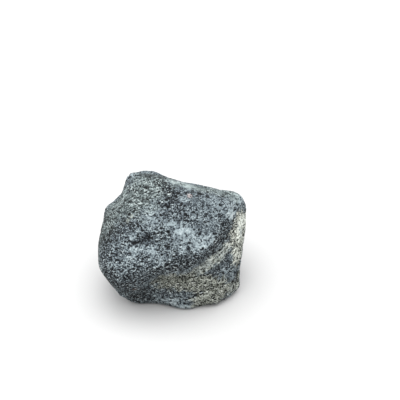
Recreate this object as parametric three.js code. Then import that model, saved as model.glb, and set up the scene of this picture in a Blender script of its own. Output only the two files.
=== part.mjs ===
// A lump of lava rock: one piece of fine-bubbled basalt, about as big as a fist.
// It is a blunt block with worn edges, and its front face leans back. A flake has broken out of the
// front, low on the right. It has left an undercut lip, and a foot that stands out below the lip.
// The stone rests on its flat, broken underside.
// Millimetres, +Z up. The origin is on the ground, under the middle of the stone's box.

import * as THREE from 'three';
import { ImprovedNoise } from 'three/addons/math/ImprovedNoise.js';
import { mergeVertices } from 'three/addons/utils/BufferGeometryUtils.js';

// Driving dimensions. The heart is a point deep inside the stone, and the faces, rises and hollows are
// placed from it.
const HEART_HEIGHT = 36; // from the resting face up to the heart

// Each face is flat before wear. It is given by the way that it looks (azimuth, 0 to the right and 90
// to the back, and elevation, in degrees) and by its distance from the heart.
const BLOCK_FACES = [
  { azimuth: -92, elevation: 42, distance: 35 }, // front, leaning back
  { azimuth: -97, elevation: 5, distance: 42 }, // front, low on the left
  { azimuth: -45, elevation: 25, distance: 45 }, // front right
  { azimuth: -12, elevation: 69, distance: 44.5 }, // top, sloping to the right
  { azimuth: 69, elevation: 55, distance: 39.5 }, // top rear
  { azimuth: -154, elevation: 42, distance: 44 }, // left flank
  { azimuth: 158, elevation: 30, distance: 51 }, // upper left
  { azimuth: 179, elevation: 10, distance: 47.5 }, // left
  { azimuth: -158, elevation: -30, distance: 47 }, // lower left
  { azimuth: -125, elevation: -28, distance: 50 }, // lower left front
  { azimuth: -97, elevation: -36, distance: 43.5 }, // lower front
  { azimuth: -4, elevation: -7, distance: 47.5 }, // right
  { azimuth: 5, elevation: 20, distance: 58 }, // upper right
  { azimuth: 35, elevation: 41, distance: 62 }, // top right corner
  { azimuth: 95, elevation: 10, distance: 43 }, // back
  { azimuth: 42, elevation: 0, distance: 50 }, // back right
  { azimuth: 138, elevation: -8, distance: 46 }, // back left
  { azimuth: 0, elevation: -90, distance: 38 }, // underside
];
const UNDERCUT_FACES = [
  { azimuth: -18, elevation: -6, distance: 36.5 }, // right end
  { azimuth: -38, elevation: -28, distance: 27.5 }, // middle
  { azimuth: -76, elevation: -44, distance: 24 }, // lower end
];
const FOOT_FACES = [
  { azimuth: -90, elevation: -13, distance: 32.5 }, // front of the foot
  { azimuth: -74, elevation: 13, distance: 33 }, // ledge under the lip
  { azimuth: -33, elevation: 15, distance: 40.5 }, // pale right face
  { azimuth: -43, elevation: 5, distance: 39 }, // low right face
  { azimuth: -36, elevation: -42, distance: 57.5 }, // lower corner
];
const HEEL_FACE = { azimuth: -35, elevation: -30, distance: 10 }; // the scar's end, towards the left

// Round rises and hollows, each one given by the way to it from the heart, its reach and its height.
const SWELLINGS = [
  { azimuth: 122, elevation: 51, reach: 9, height: 3.5 }, // knob on the top left
  { azimuth: 152, elevation: 38, reach: 10, height: -5 }, // hollow behind the upper left edge
  { azimuth: -72, elevation: -49, reach: 9, height: 4 }, // bump on the bottom edge
  { azimuth: -122, elevation: 29, reach: 5, height: -2 }, // hollow in the front
  { azimuth: -66, elevation: 25, reach: 12, height: 1.5 }, // rise in the front, right of the middle
  { azimuth: -113, elevation: 19, reach: 10, height: 1.5 }, // rise in the front, low on the left
  { azimuth: -99, elevation: 65, reach: 8, height: -1.5 }, // shallow hollow near the top
];
const UNDULATIONS = [
  { size: 26, height: 1.6 },
  { size: 11, height: 0.7 },
];
const EDGE_WEAR = 3; // how far wear has rounded the edges between faces
const CREASE_FILL = 1.2; // the same for the crease under the lip

// How finely the skin is worked out.
const MESH_DETAIL = 17; // 20 x (detail + 1) x (detail + 1) triangles
const LARGEST_REACH = 80; // no skin is further than this from the heart
const STRIDE = 2; // step inwards while looking for the skin
const HALVINGS = 18; // of the last stride, to close in on the skin
const SAME_POINT = 1e-5; // corners of the unit ball that are closer than this are one

const noise = new ImprovedNoise();

function lookingTo({ azimuth, elevation }) {
  const turn = THREE.MathUtils.degToRad(azimuth);
  const rise = THREE.MathUtils.degToRad(elevation);
  return new THREE.Vector3(
    Math.cos(rise) * Math.cos(turn),
    Math.cos(rise) * Math.sin(turn),
    Math.sin(rise),
  );
}

function planeOf(face) {
  return new THREE.Plane(lookingTo(face), -face.distance);
}

const blockPlanes = BLOCK_FACES.map(planeOf);
const undercutPlanes = UNDERCUT_FACES.map(planeOf);
const footPlanes = FOOT_FACES.map(planeOf);
const heelPlane = planeOf(HEEL_FACE);

// The greatest of some values, blended where they are close. A negative width gives the least instead.
function blendedMost(values, width) {
  const sum = values.reduce((total, value) => total + Math.exp(value / width), 0);
  return width * Math.log(sum);
}

// How far a point lies outside (above 0) or inside (below 0) a worn solid with these faces.
function outside(planes, point) {
  const distances = planes.map((plane) => plane.distanceToPoint(point));
  return blendedMost(distances, EDGE_WEAR);
}

// The scar takes away what is below the lip, in front of the foot and to the right of the heel.
function outsideStone(point) {
  const belowLip = outside(undercutPlanes, point);
  const offFoot = outside(footPlanes, point);
  const offHeel = heelPlane.distanceToPoint(point);
  const inScar = blendedMost([belowLip, offFoot, offHeel], -CREASE_FILL);
  return blendedMost([outside(blockPlanes, point), inScar], EDGE_WEAR);
}

// The distance from the heart to the outermost skin in a direction: strides inwards, then halvings.
function reachIn(direction) {
  const at = (radius) => outsideStone(direction.clone().multiplyScalar(radius));
  let inner = LARGEST_REACH;
  while (at(inner) > 0) inner -= STRIDE;
  let outer = inner + STRIDE;
  for (let halving = 0; halving < HALVINGS; halving++) {
    const middle = (inner + outer) / 2;
    if (at(middle) > 0) outer = middle;
    else inner = middle;
  }
  return inner;
}

function swellingAt(direction, radius) {
  let height = 0;
  for (const swelling of SWELLINGS) {
    const away = lookingTo(swelling).angleTo(direction) * radius;
    height += swelling.height * Math.exp(-((away / swelling.reach) ** 2));
  }
  return height;
}

function undulationAt(point) {
  let height = 0;
  for (const wave of UNDULATIONS) {
    const { x, y, z } = point.clone().divideScalar(wave.size);
    height += wave.height * noise.noise(x, y, z);
  }
  return height;
}

// The point of the skin in a direction from the heart. The flat underside cuts off what is lower.
function skinPoint(direction) {
  let radius = reachIn(direction);
  radius += swellingAt(direction, radius);
  radius += undulationAt(direction.clone().multiplyScalar(radius));
  const point = direction.clone().multiplyScalar(radius);
  if (point.z < -HEART_HEIGHT) point.multiplyScalar(-HEART_HEIGHT / point.z);
  return point;
}

// A ball of near-equal triangles, with every corner moved straight out to the skin.
function stoneGeometry() {
  const ball = new THREE.IcosahedronGeometry(1, MESH_DETAIL);
  ball.deleteAttribute('normal');
  ball.deleteAttribute('uv');
  const geometry = mergeVertices(ball, SAME_POINT);
  const position = geometry.getAttribute('position');
  for (let corner = 0; corner < position.count; corner++) {
    const direction = new THREE.Vector3().fromBufferAttribute(position, corner).normalize();
    const { x, y, z } = skinPoint(direction);
    position.setXYZ(corner, x, y, z);
  }
  geometry.computeVertexNormals();
  geometry.computeBoundingBox();
  return geometry;
}

const basalt = new THREE.MeshStandardMaterial({ color: 0x6d777b, roughness: 0.95, metalness: 0 });
const stone = new THREE.Mesh(stoneGeometry(), basalt);
const boxMiddle = stone.geometry.boundingBox.getCenter(new THREE.Vector3());
stone.position.set(-boxMiddle.x, -boxMiddle.y, HEART_HEIGHT);
stone.name = 'lava_rock';

const lavaRock = new THREE.Group();
lavaRock.add(stone);

export default lavaRock;
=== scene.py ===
# %% [markdown]
# # A lump of lava rock
#
# Lava rock is basalt that froze while gas was still bubbling out of it. What makes it look like lava
# rock and not like any grey stone is three things at once: a blunt broken block, thousands of small
# round bubbles cut open by the break, and pale dust and mineral crust on top of a much darker rock.
# This lesson builds them in that order: form, relief, bubbles, colour.
#
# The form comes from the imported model, so we load it first. It is the frame that everything fits.

# %% Load the frame
import math

import bmesh
import bpy
import numpy as np
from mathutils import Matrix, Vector, kdtree, noise


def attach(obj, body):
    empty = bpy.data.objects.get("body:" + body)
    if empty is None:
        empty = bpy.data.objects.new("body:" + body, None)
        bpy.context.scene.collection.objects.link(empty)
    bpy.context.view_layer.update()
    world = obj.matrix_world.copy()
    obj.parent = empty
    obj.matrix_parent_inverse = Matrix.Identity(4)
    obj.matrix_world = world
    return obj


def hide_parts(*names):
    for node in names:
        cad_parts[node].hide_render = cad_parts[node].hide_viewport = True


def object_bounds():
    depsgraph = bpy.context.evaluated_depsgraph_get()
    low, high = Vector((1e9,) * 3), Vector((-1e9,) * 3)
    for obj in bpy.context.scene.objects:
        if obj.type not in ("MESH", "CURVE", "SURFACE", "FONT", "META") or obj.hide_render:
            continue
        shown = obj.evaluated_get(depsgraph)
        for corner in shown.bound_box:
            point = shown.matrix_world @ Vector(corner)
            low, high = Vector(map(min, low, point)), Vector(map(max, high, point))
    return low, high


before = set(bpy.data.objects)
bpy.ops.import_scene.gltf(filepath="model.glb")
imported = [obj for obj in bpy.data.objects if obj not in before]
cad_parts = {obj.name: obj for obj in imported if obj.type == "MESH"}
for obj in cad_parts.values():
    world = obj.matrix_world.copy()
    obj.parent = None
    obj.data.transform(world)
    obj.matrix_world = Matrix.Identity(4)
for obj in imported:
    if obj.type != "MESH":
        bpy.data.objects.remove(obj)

cad_low, cad_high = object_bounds()
print("CAD box in mm:", [round(1000 * side, 1) for side in cad_high - cad_low])

# %% [markdown]
# ## The camera
#
# A stone looks squat from above and tall from the ground, so the camera's height matters more than
# its distance. We look down at about 32 degrees with a short telephoto lens, which keeps the far
# edges of the stone from shrinking. The aim is a point up and to the right of the stone, so that the
# stone stands low and left in the picture. Moving the aim is simpler than shifting the lens, and it
# leaves the lens alone for every other view.

# %% Place the camera
MM = 0.001
LENS = 65  # millimetres
SENSOR_WIDTH = 36
LOOK_DOWN = math.radians(32)
CAMERA_DISTANCE = 474 * MM
AIM_FROM_MIDDLE = Vector((18, 9, 17.5)) * MM

middle = (cad_low + cad_high) / 2
aim = middle + AIM_FROM_MIDDLE
away = Vector((0, -math.cos(LOOK_DOWN), math.sin(LOOK_DOWN)))

camera = bpy.data.objects.new("camera", bpy.data.cameras.new("camera"))
camera.data.lens = LENS
camera.data.sensor_width = SENSOR_WIDTH
camera.location = aim + away * CAMERA_DISTANCE
camera.rotation_euler = (math.pi / 2 - LOOK_DOWN, 0, 0)
bpy.context.collection.objects.link(camera)
bpy.context.scene.camera = camera
print("The camera stands", [round(c, 3) for c in camera.location])

# %% [markdown]
# ## Floor and light
#
# Rough stone is shown best by one large, soft light from almost straight above. A small hard light
# would fill every bubble with a black shadow, and light from everywhere would hide the bubbles. So we
# use a big softbox overhead and an even white sky. The floor sends light back up under the stone, and
# the paler it is, the flatter the stone looks. A light grey floor under a strong light looks just as
# white as a white one, and keeps the underside of the stone dark.

# %% Build the floor and the lights
FLOOR_HALF = 4.0  # metres from its middle to its edge
FLOOR_GREY = 0.5
FLOOR_ROUGHNESS = 0.9
SKY_STRENGTH = 1.08


def plain_material(name, colour, roughness):
    """A material of one colour."""
    material = bpy.data.materials.new(name)
    material.use_nodes = True
    shader = material.node_tree.nodes["Principled BSDF"]
    shader.inputs["Base Color"].default_value = colour
    shader.inputs["Roughness"].default_value = roughness
    return material


floor_shape = bmesh.new()
bmesh.ops.create_grid(floor_shape, x_segments=1, y_segments=1, size=FLOOR_HALF)
floor_mesh = bpy.data.meshes.new("floor")
floor_shape.to_mesh(floor_mesh)
floor_shape.free()
floor_mesh.materials.append(plain_material("pale_floor", (FLOOR_GREY,) * 3 + (1,), FLOOR_ROUGHNESS))
floor = bpy.data.objects.new("floor", floor_mesh)
bpy.context.collection.objects.link(floor)

sky = bpy.data.worlds.new("sky")
sky.use_nodes = True
sky.node_tree.nodes["Background"].inputs["Color"].default_value = (1, 1, 1, 1)
sky.node_tree.nodes["Background"].inputs["Strength"].default_value = SKY_STRENGTH
bpy.context.scene.world = sky


def softbox(name, azimuth, elevation, distance, size, power):
    """A square area light that faces the stone's middle."""
    turn, rise = math.radians(azimuth), math.radians(elevation)
    way = Vector((math.cos(rise) * math.cos(turn), math.cos(rise) * math.sin(turn), math.sin(rise)))
    light = bpy.data.objects.new(name, bpy.data.lights.new(name, "AREA"))
    light.data.size = size
    light.data.energy = power
    light.location = middle + way * distance
    light.rotation_euler = way.to_track_quat("Z", "Y").to_euler()
    bpy.context.collection.objects.link(light)


softbox("overhead", azimuth=-110, elevation=80, distance=3.0, size=3.8, power=160)
bpy.context.scene.view_settings.view_transform = "Standard"

# %% [markdown]
# ## A fine skin over the block
#
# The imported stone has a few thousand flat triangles, some 3 mm wide. Most bubbles are only about 1 mm
# across, so the mesh has to be several times finer. Each edge of a copy is cut into five, which makes
# 25 small triangles out of each large one, and smoothing takes the old flat facets away. The smallest
# bubbles still hold only two to four points and come out as plain dents. The material has to do the
# rest. A Subdivision Surface modifier would cut and smooth at once, but we want to move single points
# afterwards, so the fine mesh is made for real.

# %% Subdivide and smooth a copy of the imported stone
MERGE_WITHIN = 0.01 * MM
CUTS = 4
FACET_SMOOTHINGS = 24


def smoothed(shape, rounds):
    """Moves every point halfway to the middle of its neighbours, several times over."""
    for _ in range(rounds):
        bmesh.ops.smooth_vert(
            shape, verts=shape.verts, factor=0.5, use_axis_x=True, use_axis_y=True, use_axis_z=True
        )
    shape.normal_update()


skin = bmesh.new()
skin.from_mesh(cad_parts["lava_rock"].data)
bmesh.ops.remove_doubles(skin, verts=skin.verts, dist=MERGE_WITHIN)
bmesh.ops.subdivide_edges(skin, edges=skin.edges, cuts=CUTS, use_grid_fill=True)
smoothed(skin, FACET_SMOOTHINGS)
skin.verts.ensure_lookup_table()
skin.faces.ensure_lookup_table()
print("The skin has", len(skin.verts), "points and", len(skin.faces), "triangles")

# %% [markdown]
# ## Brush strokes
#
# Much of what gives a stone its own face follows no rule: water has left a cream crust down one side,
# one flank is scraped, and one hollow is darkened with painted shade. Such things are painted, and a
# program can paint too. A stroke is a short path of points in millimetres with a reach. It is 1 along
# the path, fades to 0 at about its reach, and noise frays its edge. We work the strokes out in numbers,
# for every point of the skin. Some shape the form, and others go to the material, which reads them as
# attributes.


# %% Measure with noise and with strokes
FINER_BY = 2.0  # each octave of the noise, against the one before
FALL_OFF = 0.8  # and it is weaker by FINER_BY to this power

places = np.array([point.co for point in skin.verts]) / MM
rest_normals = np.array([point.normal for point in skin.verts])


def field(size, octaves=1, squeeze=None):
    """Noise with features of about this many millimetres, for every point of the skin."""
    scaled = (places if squeeze is None else places @ squeeze) / size
    return np.array([noise.fractal(Vector(p), FALL_OFF, FINER_BY, octaves) for p in scaled])


def distance_to(path):
    """How many millimetres each point of the skin lies from a path of straight stretches."""
    path = [np.array(stop, dtype=float) for stop in path]
    nearest = np.linalg.norm(places - path[0], axis=1)
    for start, end in zip(path, path[1:]):
        way = end - start
        along = np.clip((places - start) @ way / (way @ way), 0, 1)
        nearest = np.minimum(nearest, np.linalg.norm(places - start - along[:, None] * way, axis=1))
    return nearest


def eased(share):
    """0 to 1, with a soft start and end."""
    share = np.clip(share, 0, 1)
    return share * share * (3 - 2 * share)


CORE = 1.5  # over 1, so that a stroke keeps a solid core
FRAY = 0.5
FRAY_SIZE = 3.2  # millimetres
fraying = field(FRAY_SIZE, octaves=4)


def stroke(reach, *path):
    """1 along the path and 0 from about its reach, with a frayed edge."""
    return eased(CORE * (1 - distance_to(path) / reach) + FRAY * fraying)


print("Noise from", round(float(fraying.min()), 2), "to", round(float(fraying.max()), 2))

# %% [markdown]
# The strokes that change the form are these. The lava of the left flank was still sliding when it
# froze, so it is scraped, and has few bubbles. So have the rim along the top and the left edge, which
# were rubbed smooth. The undercut and the foot's right end are where the last flakes broke off, and
# they are the roughest places.

# %% Paint what the form reads
LIP = [(35, -17, 60), (32, -24, 55), (24, -33, 51), (15, -39, 47), (4, -42, 43), (-8, -40, 38)]

scraped = stroke(19, (-43, -12, 52), (-34, -8, 66), (-22, -12, 74), (-14, -8, 80))
rubbed = np.maximum(
    stroke(9, (-13, 4, 79), (2, -1, 80), (21, 0, 75), (38, 1, 68)),
    stroke(8, (-46, -14, 48), (-46, -20, 38), (-42, -34, 28)),
)
calm = np.maximum(scraped, rubbed * 0.9)
broken = np.maximum(stroke(10, *LIP), stroke(16, (45, -10, 16), (36, -24, 5), (22, -31, 3)))
print("Scraped points:", int((scraped > 0.5).sum()), " broken points:", int((broken > 0.5).sum()))

# %% [markdown]
# ## Relief
#
# A list of soft bumps and dents gives the block its own corners: the knob, the notch below it, the
# crumbled foot. The rest is noise, and all of it moves the skin along its normal. Broken lava is never
# smooth between its edges. It rolls gently over a centimetre or so, and on top of that it is crumbly
# at the size of a few millimetres. The crumbly part takes away the noise's absolute value, which
# leaves sharp little ridges between round hollows, where plain noise would look like dunes. Where the
# last flakes broke off there are larger chips as well. The scrapes are noise stretched along the way
# that the rock slid.

# %% Move the skin in and out
ROLL = (10.0, 0.5)  # size and height in millimetres
CRUMB = (3.2, 0.8)
CHIP = (6.0, 1.1)
SCRAPE = (1.4, 0.35)
SCRAPE_WAY = np.array((0.72, -0.2, 0.66))
SCRAPE_STRETCH = 9
CRUMB_LEVEL = 0.35  # noise weaker than this stands out, and stronger noise sinks in
CHIP_LEVEL = 0.2
CALM_LOSES = 0.7  # share of the crumbs that calm places do without
BROKEN_GAINS = 0.6

FORM = [  # height in millimetres, reach, path
    (1.7, 8, [(-27, 9, 77), (-24, 5, 81)]),  # corner of the knob
    (-1.9, 11, [(-35, -3, 67), (-37, 12, 61), (-35, 22, 60)]),  # notch below the knob
    (0.9, 7, [(-43, 5, 54)]),  # left shoulder
    (1.8, 13, [(42, 2, 65)]),  # top right corner
    (0.9, 8, [(35, 4, 68), (47, 7, 56)]),
    (1.3, 11, [(-34, -35, 18)]),  # lower left
    (1.2, 8, [(-31, -33, 13), (-28, -26, 4)]),
    (1.2, 8, [(27, -30, 4)]),  # crumbled corners at the foot
    (1.4, 6, [(43, -14, 6)]),
    (-1.2, 6, [(45, -9, 19)]),
    (-0.9, 7, [(-14, -32, 58), (-18, -33, 57)]),  # hollow in the front
    (-1.6, 13, [(-20, 36, 52), (-6, 42, 38), (4, 42, 30)]),  # broken faces behind
    (1.2, 9, [(16, 40, 46), (26, 34, 40)]),
    (-1.2, 9, [(36, 26, 24), (30, 32, 14)]),
    (1.1, 8, [(-38, 24, 28), (-30, 34, 22)]),
]

scrape_squeeze = np.eye(3) - np.outer(SCRAPE_WAY, SCRAPE_WAY) * (1 - 1 / SCRAPE_STRETCH)
scrapes = field(SCRAPE[0], squeeze=scrape_squeeze)
crumbs = CRUMB_LEVEL - np.abs(field(CRUMB[0], octaves=4))
height = ROLL[1] * field(ROLL[0], octaves=2)
for rise, reach, path in FORM:
    height += rise * eased(1 - distance_to(path) / reach)
height += CRUMB[1] * crumbs * (1 - CALM_LOSES * calm) * (1 + BROKEN_GAINS * broken)
height += CHIP[1] * broken * (CHIP_LEVEL - np.abs(field(CHIP[0], octaves=2)))
height += SCRAPE[1] * scraped * scrapes
for point, rise in zip(skin.verts, height):
    point.co += point.normal * (rise * MM)
skin.normal_update()
print("Relief from", round(float(height.min()), 2), "to", round(float(height.max()), 2), "mm")

# %% [markdown]
# ## Bubbles
#
# The break cut through bubbles of every size. Each bubble that shows is a bowl: part of a ball, sunk
# into the skin. Cutting thousands of balls out with a Boolean would be slow and could fail, so we
# push the points inside each bowl's rim inwards to the bowl's depth instead. Every bowl is stretched a
# little, because the lava was flowing when it set. The sizes come in families, with many more small
# ones than large ones. Bubbles crowd in some places and are rare in calm ones, so not every one that
# is tried is kept. Every random draw starts from one fixed seed.

# %% Scatter the bubbles
FAMILIES = [  # how many are tried, smallest and largest radius in millimetres
    (4200, 0.4, 0.6),
    (750, 0.6, 0.95),
    (70, 0.95, 1.4),
    (8, 1.5, 1.9),
]
LONGEST_STRETCH = 1.6
CLUSTER_SIZE = 14  # millimetres
KEPT = 0.85  # share kept where neither clusters nor calm places change it
CALM_SPARES = 0.75
SEED = 41

rng = np.random.default_rng(SEED)
areas = np.array([face.calc_area() for face in skin.faces])
chances = areas / areas.sum()


def any_tangent(normal):
    """A random way along the skin."""
    way = Vector(rng.normal(size=3))
    return (way - normal * way.dot(normal)).normalized()


bubbles = []
for count, smallest, largest in FAMILIES:
    for number in rng.choice(len(areas), size=count, p=chances):
        face = skin.faces[int(number)]
        centre = face.calc_center_median()
        radius = rng.uniform(smallest, largest) * MM
        stretch = rng.uniform(1, LONGEST_STRETCH)
        crowd = KEPT + noise.noise(centre / (CLUSTER_SIZE * MM)) - CALM_SPARES * calm[face.verts[0].index]
        if rng.random() < crowd:
            bubbles.append((centre, any_tangent(face.normal), radius, stretch))
print(len(bubbles), "bubbles show")

# %% [markdown]
# Some bubbles can be told apart by eye: a handful of long slits where several bubbles ran together,
# and the most striking single bowls. They are placed one by one, so that the stone keeps its own face.

# %% Add the bubbles that stand out
LANDMARKS = [  # place in millimetres, way along, radius in millimetres, stretch
    ((-17, -4, 82), (0.8, -0.3, -0.5), 0.75, 2.6),  # slit on the knob
    ((8, -27, 64), (1, 0, 0.1), 0.6, 3.4),  # slits in the middle of the front
    ((-9, -27, 64), (1, 0, -0.1), 0.7, 2.2),
    ((-14, -32, 58), (1, 0.1, 0.4), 1.2, 1.3),  # floor of the hollow in the front
    ((-17, -33, 57), (1, 0.1, 0.3), 0.9, 1.4),
    ((-15, -32, 60), (1, 0.2, -0.4), 0.8, 1.3),
    ((10, -33, 59), (1, 0, 0), 0.9, 1.0),
    ((-37, -20, 57), (0.5, -0.5, 0.5), 0.9, 1.7),  # pits on the left flank
    ((-29, -20, 63), (1, 0, 0), 0.7, 1.0),
    ((-7, -37, 28), (1, 0, 0), 0.8, 2.6),  # slit under the lip
    ((-10, -38, 31), (1, 0, -0.6), 0.7, 1.8),
    ((32, -21, 60), (0.4, 0, 0.6), 1.0, 1.4),  # dark bowls at the right end of the lip
    ((35, -17, 60), (0.6, 0.3, 0.5), 1.1, 1.4),
]

tree = kdtree.KDTree(len(skin.verts))
for number, point in enumerate(skin.verts):
    tree.insert(point.co, number)
tree.balance()

for place, way, radius, stretch in LANDMARKS:
    centre, *_ = tree.find(Vector(place) * MM)
    bubbles.append((centre.copy(), Vector(way).normalized(), radius * MM, stretch))
print("With those placed by hand,", len(bubbles), "bubbles")

# %% Push the bowls in
BOWL_DEPTH = 0.9  # of the radius


def carve(bubbles):
    """Pushes the points in each bowl inwards. Gives each point's depth as a share of its bowl's."""
    push = np.zeros(len(skin.verts))
    share = np.zeros(len(skin.verts))
    for centre, way, radius, stretch in bubbles:
        for place, number, _ in tree.find_range(centre, radius * stretch):
            offset = place - centre
            along = offset.dot(way)
            across = (offset - way * along).length
            rim = math.hypot(along / stretch, across) / radius
            if rim < 1:
                depth = math.sqrt(1 - rim * rim)
                push[number] = max(push[number], depth * radius * BOWL_DEPTH)
                share[number] = max(share[number], depth)
    for point, depth in zip(skin.verts, push):
        point.co -= point.normal * depth
    return share


bowl_share = carve(bubbles)
skin.normal_update()
print(round(100 * float((bowl_share > 0).mean())), "% of the skin lies in bubbles")

# %% [markdown]
# ## The resting face
#
# The relief may push a few points of the underside below the ground. They are set back on it, which
# also gives the stone the flat, rubbed spots that it stands on. Points that it pushed past the other
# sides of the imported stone's box are set back too, so that the two keep one size.

# %% Keep the skin on the ground and inside its box
for point in skin.verts:
    for axis in range(3):
        point.co[axis] = min(max(point.co[axis], cad_low[axis]), cad_high[axis])
skin.normal_update()
print("Lowest point:", min(point.co.z for point in skin.verts))

# %% [markdown]
# ## Where the skin is worn, and where shade is painted into hollows
#
# Dust and wear gather by shape, and high spots go pale. Hollows and creases are painted darker, and
# that is painted shade, as little light reaches into them. A render engine can work that out itself,
# but the answer is lost when the model is exported. So we measure it here. The skin is smoothed far
# more than it should be, and what stood above the smoothed skin is high ground, and what lay below is
# a hollow. We measure twice: a short smoothing finds small grains, and a long one finds large creases.

# %% Measure high ground and hollows
GRAIN_ROUNDS = 25
CREASE_ROUNDS = 200


def height_above_smoothed(rounds):
    """For each point, how far it lies above the skin smoothed that often, in millimetres."""
    before = [point.co.copy() for point in skin.verts]
    normals = [point.normal.copy() for point in skin.verts]
    smoothed(skin, rounds)
    above = [(old - point.co).dot(way) / MM for old, point, way in zip(before, skin.verts, normals)]
    for point, old in zip(skin.verts, before):
        point.co = old
    skin.normal_update()
    return np.array(above)


grain_wear_and_shade = height_above_smoothed(GRAIN_ROUNDS)
crease_wear_and_shade = height_above_smoothed(CREASE_ROUNDS)
print("Grains within", round(float(abs(grain_wear_and_shade).max()), 2), "mm of their surroundings")
print("Creases within", round(float(abs(crease_wear_and_shade).max()), 2), "mm")

# %% [markdown]
# ## Tone and painted shade
#
# Large pale and dark areas say more about a stone's form than fine detail does. Some come from what
# has happened to each place: rims and noses are rubbed and dusty. Others are painted shade: the
# undercut below the lip, the hollow in the front and the lower edges are painted darker, where little
# light reaches them. Each stroke here adds to one number, the tone, or takes from it, and noise then
# makes all of it uneven.

# %% Paint the tone
TONE_FRAY = 0.75
TONE_FRAY_SIZE = 2.4  # millimetres
STREAK = [(35, -23, 42), (31, -27, 40), (24, -32, 38), (16, -35, 34)]

TONE_AND_SHADE_STROKES = [  # amount, reach in millimetres, path
    (1.0, 7, [(2, -1, 80), (12, -1, 77)]),  # rubbed rim along the top
    (0.2, 6, [(21, 0, 75), (36, 0, 69)]),
    (0.9, 5, [(42, 1, 64), (41, -3, 64)]),  # top right corner
    (0.5, 5, [(34, -16, 64), (39, -12, 60)]),
    (0.4, 6, [(24, -17, 71), (33, -13, 67)]),  # right half of the top
    (0.3, 5, [(6, -17, 73), (10, -16, 74)]),
    (1.2, 5, [(3, -27, 64), (7, -31, 61)]),  # middle of the front
    (0.5, 5, [(-12, -25, 67), (-5, -28, 64)]),
    (0.5, 6, [(4, -38, 54), (9, -38, 53), (12, -33, 60)]),
    (0.5, 5, [(-5, -42, 47), (4, -42, 47)]),
    (0.8, 6, [(17, -37, 56), (24, -33, 57)]),  # above the lip
    (0.7, 5, [(19, -39, 52), (23, -35, 51)]),
    (0.6, 5, [(-11, -39, 51)]),
    (0.5, 5, [(-12, -40, 53), (-11, -36, 54)]),  # left of the middle
    (0.4, 5, [(-21, -38, 52), (-22, -32, 57), (-26, -39, 48)]),
    (1.1, 6, STREAK),  # pale streak
    (1.0, 6, [(33, -26, 27), (24, -30, 24)]),
    (1.1, 5, [(38, -12, 62), (35, -17, 63)]),  # right end of the lip
    (0.7, 6, [(47, -1, 50), (48, 2, 44)]),  # crust
    (1.0, 6, [(44, -6, 51), (44, -9, 44)]),
    (0.15, 7, [(43, -14, 40), (42, -16, 31)]),
    (0.3, 7, [(-14, -18, 72), (-9, -21, 70), (-11, -26, 66)]),  # right of the scrapes
    (0.5, 5, [(-36, -41, 43), (-29, -43, 38)]),  # lower left
    (0.7, 5, [(-4, -41, 36), (3, -42, 36), (9, -40, 36)]),  # below the undercut
    (0.6, 6, [(15, -34, 10), (22, -33, 14)]),  # low front
    (1.1, 6, [(-14, -31, 11), (-3, -32, 9), (8, -33, 5)]),
    (-0.5, 5, [(20, -30, 3), (33, -24, 3)]),
    (-0.9, 5, [(-4, -9, 81), (0, -12, 79), (2, -17, 74), (4, -20, 71)]),  # smear from the top
    (-0.5, 4, [(12, -11, 77), (21, -9, 75)]),
    (-0.4, 4, [(8, -25, 67)]),
    # painted shade in the hollow in the front
    (-0.9, 4, [(-18, -33, 57), (-13, -32, 58)]),  # hollow in the front
    (-1.1, 7, [(-14, 2, 82), (-9, 6, 81), (-9, -4, 81)]),  # knob
    # painted shade under the lip: the undercut and both its ends are painted darker
    (-0.8, 6, [(34, -21, 54), (28, -30, 50), (20, -39, 49), (10, -43, 47), (1, -43, 44)]),  # undercut
    (-0.4, 5, [(37, -16, 58), (32, -22, 61)]),  # pitted right end of the undercut
    (-0.9, 6, [(8, -41, 47), (0, -42, 44), (-8, -43, 39)]),  # left end of the undercut
    # painted shade along the left edge
    (-1.2, 7, [(-41, -24, 51), (-41, -31, 49), (-42, -33, 44)]),  # left edge
    (-0.9, 5, [(-29, -37, 51)]),
    (-0.7, 9, [(-44, -8, 52), (-46, 0, 50), (-46, -16, 44)]),
    (-0.5, 5, [(-25, -20, 68)]),
    # painted shade, darker towards the bottom on the lower left and the low front
    (-1.1, 11, [(-38, -40, 32), (-29, -43, 24), (-25, -38, 18), (-21, -31, 7)]),
    (-0.9, 8, [(-16, -34, 18), (-11, -33, 14)]),
    (-1.1, 6, [(-28, -24, 63), (-31, -26, 59), (-36, -23, 57)]),  # patch under the scrapes
    (-0.7, 8, [(-25, -42, 34), (-18, -45, 37)]),
    (-0.5, 4, [(0, -40, 51)]),
    (-0.6, 4, [(-12, -43, 45)]),
    (-0.6, 5, [(14, -36, 33), (5, -38, 29)]),
    (-0.6, 5, [(34, -24, 35), (27, -31, 31), (31, -29, 26)]),
    (-0.8, 6, [(43, -13, 22), (42, -18, 16)]),
    (0.6, 9, [(-30, 20, 68), (-8, 28, 66), (16, 24, 64), (34, 16, 62)]),  # rim behind
    (0.7, 9, [(-46, 4, 40), (-42, 22, 30), (-34, 34, 22)]),
    (0.7, 8, [(16, 40, 46), (30, 32, 38), (40, 22, 36)]),
    (-0.9, 9, [(-22, 36, 52), (-6, 42, 40), (4, 42, 30)]),  # broken faces behind
    # painted shade along the foot behind, darker towards the ground
    (-0.8, 10, [(-24, 38, 12), (0, 42, 12), (24, 36, 8)]),  # sheltered foot
    (-0.7, 8, [(42, 14, 24), (36, 26, 16)]),
    (0.6, 6, [(-16, 42, 30), (-24, 38, 36)]),
]
tone = sum(amount * stroke(reach, *path) for amount, reach, path in TONE_AND_SHADE_STROKES)
tone *= 1 + TONE_FRAY * field(TONE_FRAY_SIZE, octaves=3)
print("Tone from", round(float(tone.min()), 2), "to", round(float(tone.max()), 2))

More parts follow.
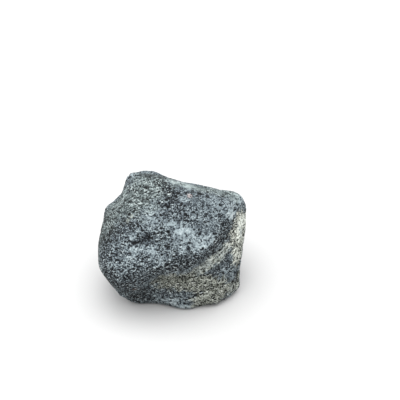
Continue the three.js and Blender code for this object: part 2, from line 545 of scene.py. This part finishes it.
# %% [markdown]
# Minerals have their own strokes, because they change the colour and not only the tone: a cream crust
# on the right face, a tan stain low on the front that runs out to the right along the foot, a weaker
# tint of it on the pale streak below the lip, one small spot of rust, one rosy grain and two pale
# ones. Two more layers steer the fine patterns: pitted says where pores crowd, and lit says how much
# the skin faced up before the relief. All that the material reads is gathered here under its name.

# %% Paint the minerals
layers = {
    "tone": tone,
    "calm": calm,
    "scraped": scraped,
    "crust": np.maximum.reduce([
        stroke(10, (48, 2, 46), (43, -7, 52), (40, -14, 46), (43, -13, 38), (44, -13, 30), (47, -2, 43)),
        0.5 * stroke(20, (46, -4, 44), (47, 4, 36)),
        0.9 * stroke(7, (41, -16, 40), (42, -17, 30)),
    ]),
    "stain": np.maximum.reduce([
        stroke(12, (-3, -36, 28), (12, -36, 26), (22, -34, 22), (32, -28, 13), (20, -33, 7)),
        0.7 * stroke(9, (32, -28, 13), (41, -18, 10)),
        0.6 * stroke(7, *STREAK),
        stroke(4, (46, -10, 22), (44, -13, 14)),
    ]),
    "rust": stroke(2.5, (-22, -42, 25)),
    "rosy": stroke(2.5, (11.8, -12.3, 75.8)),
    "pale_grain": np.maximum(stroke(1.9, (-24, -22, 66.5)), 0.5 * stroke(1.6, (-26.5, -23, 64))),
    "pitted": np.maximum(
        stroke(8, (37, -16, 58), (33, -22, 57), (28, -30, 50), (20, -39, 49), (10, -43, 47), (-8, -43, 39)),
        stroke(14, (-38, -38, 34), (-27, -42, 24), (-18, -34, 14), (-4, -34, 12)),
    ),
    "lit": rest_normals[:, 2],
    "grain": grain_wear_and_shade,
    "crease": crease_wear_and_shade,
    "bowl": bowl_share,
}
for name, values in layers.items():
    print(name, "from", round(float(values.min()), 2), "to", round(float(values.max()), 2))

# %% [markdown]
# ## The finished piece
#
# The mesh is written out once, shaded smooth, and given its attributes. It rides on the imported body
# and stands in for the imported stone.

# %% Make the object
mesh = bpy.data.meshes.new("lava_rock_skin")
skin.to_mesh(mesh)
skin.free()
mesh.shade_smooth()
for name, values in layers.items():
    mesh.attributes.new(name, "FLOAT", "POINT").data.foreach_set("value", values.astype(np.float32))
rock = bpy.data.objects.new("lava_rock_skin", mesh)
bpy.context.collection.objects.link(rock)
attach(rock, "root")
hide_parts("lava_rock")
print("The finished skin has", len(mesh.polygons), "triangles")

# %% [markdown]
# ## Writing a shader as sums
#
# A stone's colour is a long sum of small effects. As a drawing of nodes it would be a tangle, so
# this small class wraps one output of a node. Adding or multiplying two of them adds the Math node
# that does it, and any other kind of node comes from the one method, node.


# %% A wire that can be added up
# A Mix node has sockets for every kind of value. These are the ones for colours.
MIX_SHARE, MIX_FIRST, MIX_SECOND, MIX_RESULT = 0, 6, 7, 2


class Wire:
    """One output of a shader node."""

    def __init__(self, tree, socket):
        self.tree = tree
        self.socket = socket

    def node(self, kind, settings=None, inputs=None, output=0):
        """Adds a node: its type, its settings, and the values or wires of its inputs."""
        made = self.tree.nodes.new(kind)
        for name, value in (settings or {}).items():
            if name == "stops":
                set_stops(made.color_ramp, value)
            else:
                setattr(made, name, value)
        for name, value in (inputs or {}).items():
            if isinstance(value, Wire):
                self.tree.links.new(value.socket, made.inputs[name])
            else:
                made.inputs[name].default_value = value
        return Wire(self.tree, made.outputs[output])

    def sibling(self, output):
        """Another output of the same node."""
        return Wire(self.tree, self.socket.node.outputs[output])

    def math(self, operation, *values):
        """A Math node of the values, in order."""
        return self.node("ShaderNodeMath", {"operation": operation}, dict(enumerate(values)))

    def __add__(self, other):
        return self.math("ADD", self, other)

    def __radd__(self, other):
        return self.math("ADD", other, self)

    def __sub__(self, other):
        return self.math("SUBTRACT", self, other)

    def __rsub__(self, other):
        return self.math("SUBTRACT", other, self)

    def __mul__(self, other):
        return self.math("MULTIPLY", self, other)

    def __rmul__(self, other):
        return self.math("MULTIPLY", other, self)

    def step(self, low, high):
        """0 where the wire is under low, 1 where it is over high, and eased in between."""
        return self.node(
            "ShaderNodeMapRange",
            {"interpolation_type": "SMOOTHSTEP"},
            {"Value": self, "From Min": low, "From Max": high},
        )

    def tinted(self, other, share):
        """This colour, with a share of another mixed in."""
        inputs = {MIX_SHARE: share, MIX_FIRST: self, MIX_SECOND: other}
        return self.node("ShaderNodeMix", {"data_type": "RGBA"}, inputs, MIX_RESULT)

    def ramp(self, *colours):
        """Colours from dark to light, evenly spread over 0 to 1."""
        stops = [(i / (len(colours) - 1), colour) for i, colour in enumerate(colours)]
        return self.node("ShaderNodeValToRGB", {"stops": stops}, {"Fac": self})


def set_stops(ramp, stops):
    """Gives a ramp its stops: position and colour."""
    while len(ramp.elements) < len(stops):
        ramp.elements.new(1)
    for element, (position, colour) in zip(ramp.elements, stops):
        element.position = position
        element.color = colour


def screen(red, green, blue):
    """A colour given as screen values from 0 to 255, as a shader wants it."""
    return tuple(((c / 255 + 0.055) / 1.055) ** 2.4 for c in (red, green, blue)) + (1.0,)


# %% [markdown]
# ## The stone's patterns
#
# Every pattern reads Object coordinates, in millimetres, so it runs through the stone as the real
# grain does and shows no seam. One noise with several octaves mottles the stone at every size from 7
# mm down to half a millimetre. The finest grit is a noise times its own absolute value, which keeps
# the few strong grains and flattens the many weak ones.
#
# Pores that are too small for the mesh come from a Voronoi pattern. It is 0 in the middle of each cell
# and grows outwards, so a dot is where it lies under a radius, and each cell draws its own radius by
# lot. A pore also has a lower wall, which faces up and catches the light. The same dots give it: read
# a little above each place, they are drawn again a little lower down, and what then sticks out below
# the pore is its lit wall. Without it the pores look printed on. Last come the pits, small dark spots
# of noise that gather in clusters.

# %% Patterns
# The dark of the pores and the pits is partly their glassy inside and partly painted shade in the holes.
PORE_SQUASH = (0.8, 0.8, 1.3)  # over 1 makes pores smaller along that axis, under 1 larger
WOBBLE_FINENESS = 1.3
DOT_EDGE = 0.08  # how soft the edge of a dot is, in cells
WALL_DROP = 0.25  # how far a lit wall lies below its pore, as a share of the size
SCRATCH_FINENESS = 1.1  # per millimetre, across the scratches
FINE_GRIT_GAIN = 5.5
PITTED_GAIN = 0.5

basalt = bpy.data.materials.new("bubbly_basalt")
basalt.use_nodes = True
shader = basalt.node_tree.nodes["Principled BSDF"]
start = Wire(basalt.node_tree, None)
place = start.node("ShaderNodeTexCoord", output="Object")
place = start.node("ShaderNodeVectorMath", {"operation": "SCALE"}, {0: place, "Scale": 1 / MM})


def attribute(name):
    """What was painted or measured on the mesh."""
    return start.node("ShaderNodeAttribute", {"attribute_name": name}, output="Fac")


def clouds(size, detail=3, roughness=0.55):
    """Noise with features of about this many millimetres, around 0."""
    made = start.node(
        "ShaderNodeTexNoise",
        inputs={"Vector": place, "Scale": 1 / size, "Detail": detail, "Roughness": roughness},
    )
    return made - 0.5


def dots(size, largest, bend=0.6, above=0.0):
    """Dots in bent cells of a size in millimetres, read this far above each place.

    The largest radius and the bend are shares of a cell.
    """
    seen = start.node("ShaderNodeVectorMath", {"operation": "ADD"}, {0: place, 1: (0, 0, above)})
    wobble = start.node(
        "ShaderNodeTexNoise",
        inputs={"Vector": seen, "Scale": WOBBLE_FINENESS / size, "Detail": 1},
        output="Color",
    )
    bent = start.node(
        "ShaderNodeVectorMath",
        {"operation": "MULTIPLY_ADD"},
        {0: wobble, 1: (bend * size,) * 3, 2: seen},
    )
    bent = start.node("ShaderNodeVectorMath", {"operation": "MULTIPLY"}, {0: bent, 1: PORE_SQUASH})
    from_middle = start.node("ShaderNodeTexVoronoi", inputs={"Vector": bent, "Scale": 1 / size})
    lot = start.node("ShaderNodeSeparateColor", inputs={"Color": from_middle.sibling("Color")})
    return (lot * largest - from_middle).step(0, DOT_EDGE)


def pores_and_walls(size, largest, bend):
    """Dark pores, and the lower wall of each, which faces up and catches the light."""
    pores = dots(size, largest, bend)
    walls = dots(size, largest, bend, above=WALL_DROP * size) * (1 - pores)
    return pores, walls


along = start.node(
    "ShaderNodeVectorMath", {"operation": "DOT_PRODUCT"}, {0: place, 1: tuple(SCRAPE_WAY)}, "Value"
)
squeeze = start.node(
    "ShaderNodeVectorMath",
    {"operation": "SCALE"},
    {0: tuple(SCRAPE_WAY), "Scale": along * (1 / SCRAPE_STRETCH - 1)},
)
squeezed = start.node("ShaderNodeVectorMath", {"operation": "ADD"}, {0: place, 1: squeeze})
scratches = start.node(
    "ShaderNodeTexNoise", inputs={"Vector": squeezed, "Scale": SCRATCH_FINENESS, "Detail": 1}
)
scratches = scratches - 0.5
scratch_lines = 1 - start.math("ABSOLUTE", scratches).step(0, 0.05)
mottling = clouds(7, detail=4, roughness=0.9)
grit = clouds(0.75, detail=1)
fine_grit = clouds(0.66, detail=0)
fine_grit = fine_grit * start.math("ABSOLUTE", fine_grit) * FINE_GRIT_GAIN
fine_pores = dots(1.2, 0.5)
pores, walls = pores_and_walls(1.9, 0.5, bend=0.35)
wide_pores, wide_walls = pores_and_walls(3.2, 0.4, bend=0.5)
# The specks are pale specks in the colour, and they are painted glints.
specks = dots(1.7, 0.42, bend=0.2)
pitted = attribute("pitted")
clusters = clouds(9, detail=2).step(-0.06, 0.1) + pitted * PITTED_GAIN
pits = (0 - clouds(1.3, detail=1)).step(0.1, 0.15) * clusters
print("Patterns made:", len(basalt.node_tree.nodes), "nodes so far")

# %% [markdown]
# ## The stone's colours
#
# Nearly everything that varies on the stone varies from dark to light along one line: bluish black in
# the pores, slate where it is clean, pale blue-grey where dust has caught. So all effects add up to one
# number, the shade, and one ramp turns the shade into colour. The calm places, the crust and the
# stain have ramps of their own, driven by the same shade, and that keeps their pores in step with
# those of the rock beneath.
#
# How strongly the fine patterns show is a number too, the contrast. It wanders from patch to patch. It
# is high where pores crowd, in dark places and where the skin faces down, and low in calm and pale
# places and where the skin faces up, because dust fills the grain there. Two soft caps keep pale
# grains from turning white: one for the fine patterns, which is lower in pale places, and one for the
# whole shade. The lit walls are added between the two, since they may be brighter than any grain.

# %% Colours
SHADE = 0.415  # before any effect is added
PATCH_GAIN = 2.8
CONTRAST = 1.15
FINE_CAP = 0.3
FINE_CAP_SOFTNESS = 0.15
SHADE_CAP = 0.9
SHADE_CAP_SOFTNESS = 0.3
CRUST_PALER = 0.1
STAIN_PALER = 0.13

calm_share = attribute("calm")
tone_and_shade_here = attribute("tone")
patches = clouds(5, detail=2) * PATCH_GAIN
contrast = (1 - 0.25 * calm_share) * (CONTRAST + patches + pitted * 0.9)
contrast = contrast * (1.05 - tone_and_shade_here * 0.6 - attribute("lit") * 0.5)

# Each number in these sums says how strongly a pattern counts.
fine = (
    contrast * (fine_grit * 1.9 + grit * 0.7 + specks * 0.08 - fine_pores * 0.35)
    - contrast * (pores * 0.7 + wide_pores * 0.65)
    - pits * 0.8
)
fine = start.math("SMOOTH_MIN", fine, FINE_CAP - tone_and_shade_here * 0.2, FINE_CAP_SOFTNESS) + patches * 0.1
fine = fine + contrast * (walls * 0.22 + wide_walls * 0.24)
shade = (
    SHADE
    + tone_and_shade_here * 0.25
    - calm_share * 0.03
    + mottling * 0.95
    # paler on high ground, for wear, and darker in hollows and creases, which is painted shade
    + attribute("grain") * 0.2
    + attribute("crease") * 0.03
    + attribute("scraped") * (scratches * 1.3 + scratch_lines * 0.22)
    + fine
    # darker inside the bubble bowls: partly their glassy inside, partly painted shade
    - attribute("bowl").step(0.1, 0.9) * 0.3
)
shade = start.math("SMOOTH_MIN", shade, SHADE_CAP, SHADE_CAP_SOFTNESS)
rock_colour = shade.ramp(
    screen(15, 18, 21),
    screen(52, 59, 65),
    screen(95, 105, 110),
    screen(141, 153, 157),
    screen(202, 211, 213),
)
crust_colour = (shade + CRUST_PALER).ramp(
    screen(38, 37, 34),
    screen(98, 98, 89),
    screen(160, 164, 154),
    screen(208, 212, 203),
    screen(236, 239, 232),
)
stain_colour = (shade + STAIN_PALER).ramp(
    screen(22, 22, 18),
    screen(66, 68, 60),
    screen(108, 111, 101),
    screen(148, 151, 140),
    screen(200, 204, 196),
)
flank_colour = shade.ramp(
    screen(19, 22, 22),
    screen(58, 65, 66),
    screen(99, 109, 109),
    screen(143, 154, 154),
    screen(203, 212, 211),
)
ROSY = screen(196, 184, 182)
PALE_GRAIN = screen(178, 186, 180)
RUST = screen(70, 48, 34)

stain_share = (attribute("stain") * (1 + mottling * 2 + grit)).step(0.0, 1.0)
crust_share = (attribute("crust") * (1 + mottling * 3 + grit * 2 - pores * 0.4)).step(0.1, 1.0)
rosy_share = (attribute("rosy") * (1 + grit * 4)).step(0.3, 0.9)
colour = rock_colour.tinted(flank_colour, calm_share)
colour = colour.tinted(stain_colour, stain_share * 0.85)
colour = colour.tinted(crust_colour, crust_share * 0.95)
colour = colour.tinted(ROSY, rosy_share * 0.45)
colour = colour.tinted(PALE_GRAIN, attribute("pale_grain") * 0.8)
colour = colour.tinted(RUST, attribute("rust") * 0.7)
print("Colours made:", len(basalt.node_tree.nodes), "nodes so far")

# %% [markdown]
# ## Roughness and the finest relief
#
# Stone this rough has hardly any shine: only the glassy floors of the bubbles catch a little light.
# A Bump node adds the relief that is finer than the mesh, in the same pattern as the colour, so that
# each dark pore is also a hollow.

# %% Connect the material
BUMP_DEPTH = 0.35 * MM
ROUGHNESS = 0.93
PORES_SMOOTHER = 0.15
SPECULAR = 0.3

roughness = ROUGHNESS - pores * PORES_SMOOTHER
relief = contrast * (fine_grit + grit + specks * 0.3 - fine_pores * 0.8 - pores - wide_pores - pits)
bump = start.node(
    "ShaderNodeBump", inputs={"Strength": 1.0, "Distance": BUMP_DEPTH, "Height": relief}
)
links = basalt.node_tree.links
links.new(colour.socket, shader.inputs["Base Color"])
links.new(roughness.socket, shader.inputs["Roughness"])
links.new(bump.socket, shader.inputs["Normal"])
shader.inputs["Specular IOR Level"].default_value = SPECULAR
mesh.materials.append(basalt)
print("The material has", len(basalt.node_tree.nodes), "nodes")
